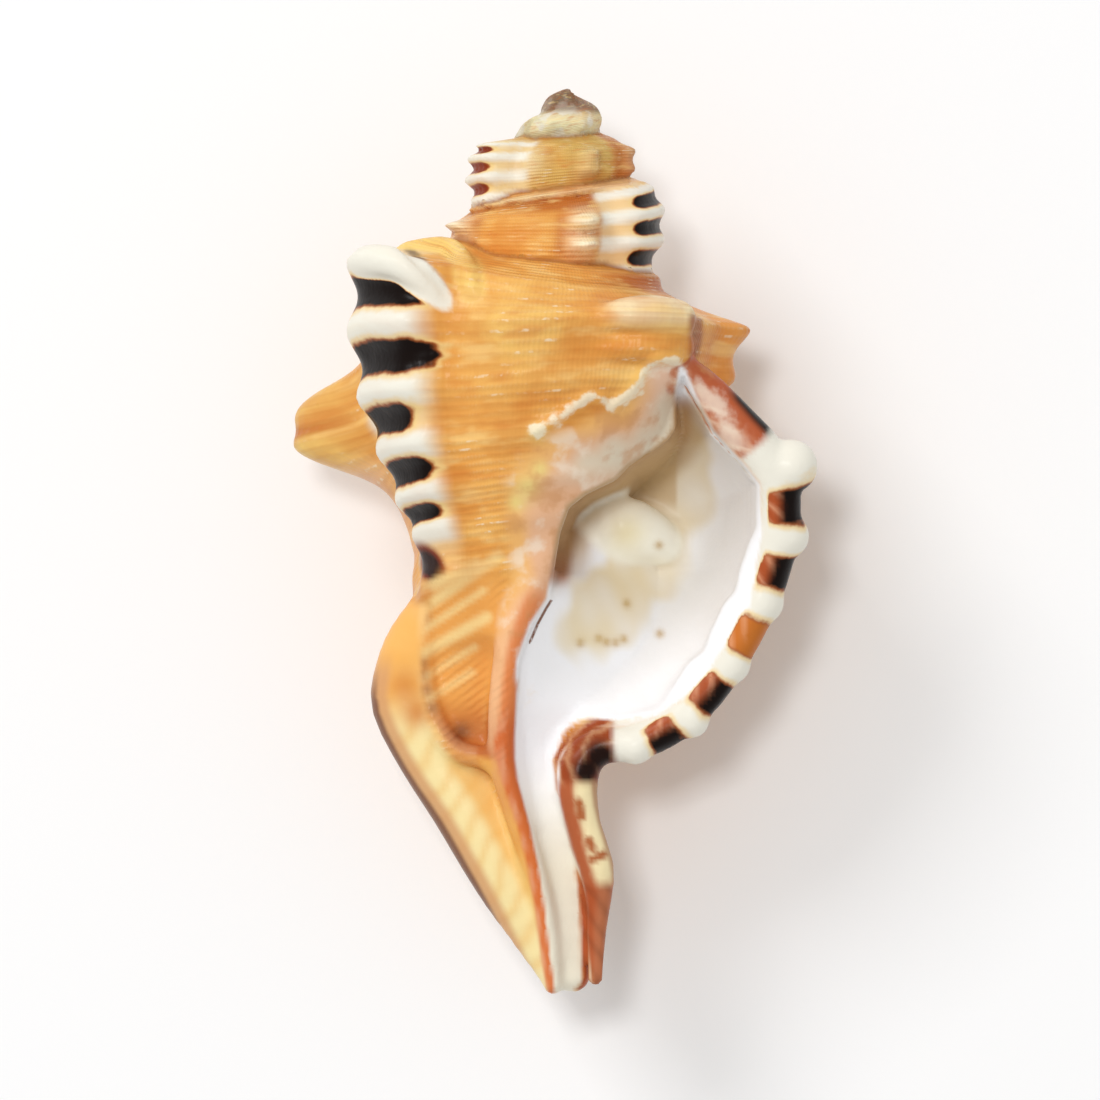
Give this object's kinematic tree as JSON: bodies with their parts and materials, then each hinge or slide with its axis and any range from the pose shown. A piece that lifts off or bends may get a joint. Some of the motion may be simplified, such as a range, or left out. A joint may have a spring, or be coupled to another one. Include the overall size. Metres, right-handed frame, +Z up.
{
  "type": "triton seashell",
  "caption": "Spired sea shell with thick banded varices, knobbed whorls, a deep white mouth and a tapering open canal, lying on its back with the mouth up.",
  "frame": {"origin": "centre of the bounding box at its lowest level, which is the ground under the resting shell", "axes": "+Z up out of the mouth, +Y towards the apex along the length, +X towards the outer lip"},
  "size_m": [0.0716, 0.122, 0.0535],
  "materials": {
    "glazed_shell": "natural glaze, ochre outside and white inside the mouth"
  },
  "bodies": {
    "root": {"shell": "glazed_shell"}
  },
  "joints": []
}
